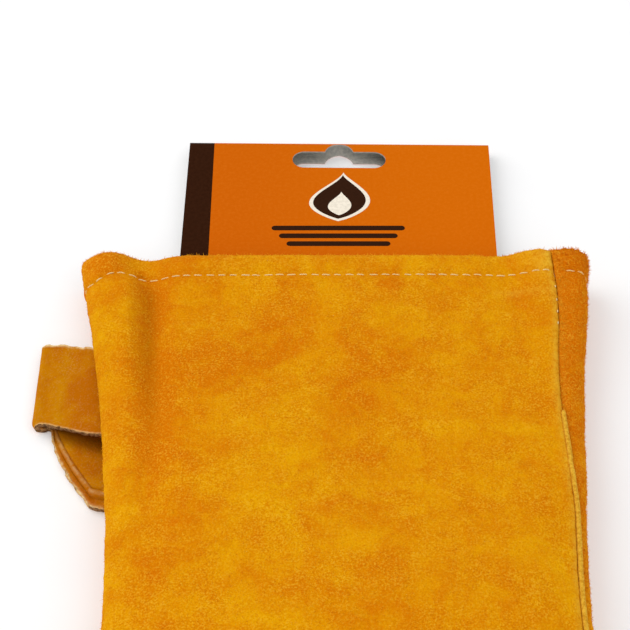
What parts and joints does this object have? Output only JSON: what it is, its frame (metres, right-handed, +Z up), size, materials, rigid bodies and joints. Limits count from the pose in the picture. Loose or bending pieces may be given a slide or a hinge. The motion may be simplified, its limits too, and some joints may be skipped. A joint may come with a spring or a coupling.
{
  "type": "heat resistant glove",
  "caption": "Lined suede gauntlet glove for hot grills, with a wide cuff, a sewn-on hang loop and a folded header card in the cuff's mouth.",
  "frame": {"origin": "middle of the cuff's mouth, on the underside of the header card, where the glove rests", "axes": "+X towards the side seam on the little-finger side, +Y out of the cuff's mouth along the header card, +Z up out of the palm side; the fingers point to -Y"},
  "size_m": [0.1958, 0.4165, 0.026],
  "materials": {
    "suede_palm": "golden-yellow split suede, brushed nap",
    "suede_back": "darker golden split suede, rough nap",
    "strap_leather": "smoother tan split leather with raw cut edges",
    "pale_welt": "pale raw-edged leather welt",
    "lining_cotton": "undyed brushed cotton",
    "straw_thread": "waxed straw-coloured thread",
    "printed_board": "orange and brown print on grey board, satin"
  },
  "bodies": {
    "cuff": {"cuff_palm_panel": "suede_palm", "cuff_back_panel": "suede_back", "cuff_lining": "lining_cotton", "hem_stitching": "straw_thread", "side_seam_welt": "pale_welt", "side_seam_stitching": "straw_thread", "wrist_welt": "suede_back"},
    "hang_loop": {"hang_loop": "strap_leather", "hang_loop_stitching": "straw_thread"},
    "header_card": {"header_card": "printed_board"},
    "hand": {"palm_panel": "suede_palm", "hand_back_panel": "suede_back", "hand_lining": "lining_cotton", "wrist_seam_stitching": "straw_thread"},
    "thumb": {"thumb_front": "suede_palm", "thumb_back": "suede_back", "thumb_lining": "lining_cotton"},
    "index_finger": {"index_finger_front": "suede_palm", "index_finger_back": "suede_back", "index_finger_fourchettes": "suede_palm", "index_finger_lining": "lining_cotton"},
    "middle_finger": {"middle_finger_front": "suede_palm", "middle_finger_back": "suede_back", "middle_finger_fourchettes": "suede_palm", "middle_finger_lining": "lining_cotton"},
    "ring_finger": {"ring_finger_front": "suede_palm", "ring_finger_back": "suede_back", "ring_finger_fourchettes": "suede_palm", "ring_finger_lining": "lining_cotton"},
    "little_finger": {"little_finger_front": "suede_palm", "little_finger_back": "suede_back", "little_finger_fourchettes": "suede_palm", "little_finger_lining": "lining_cotton"}
  },
  "joints": [
    {"name": "wrist_bend", "type": "hinge", "parent": "cuff", "child": "hand", "pos_m": [0, -0.15, 0.0224], "axis": [-1, 0, 0], "range_deg": [0, 60]},
    {"name": "thumb_bend", "type": "hinge", "parent": "hand", "child": "thumb", "pos_m": [-0.0664, -0.198, 0.0237], "axis": [0, 1, 0], "range_deg": [0, 60]},
    {"name": "loop_lift", "type": "hinge", "parent": "cuff", "child": "hang_loop", "pos_m": [-0.0747, -0.062, 0.0089], "axis": [-0.1431, 0.9897, 0], "range_deg": [0, 80]},
    {"name": "card_slide", "type": "slide", "parent": "cuff", "child": "header_card", "axis": [0, 1, 0], "range_m": [0, 0.06]},
    {"name": "index_bend", "type": "hinge", "parent": "hand", "child": "index_finger", "pos_m": [-0.0483, -0.254, 0.0222], "axis": [-0.9962, 0.0872, 0], "range_deg": [0, 75]},
    {"name": "middle_bend", "type": "hinge", "parent": "hand", "child": "middle_finger", "pos_m": [-0.0161, -0.254, 0.0222], "axis": [-0.9997, 0.0262, 0], "range_deg": [0, 75]},
    {"name": "ring_bend", "type": "hinge", "parent": "hand", "child": "ring_finger", "pos_m": [0.0161, -0.254, 0.0222], "axis": [-0.9994, -0.0349, 0], "range_deg": [0, 75]},
    {"name": "little_bend", "type": "hinge", "parent": "hand", "child": "little_finger", "pos_m": [0.0483, -0.254, 0.0222], "axis": [-0.9945, -0.1045, 0], "range_deg": [0, 75]}
  ]
}
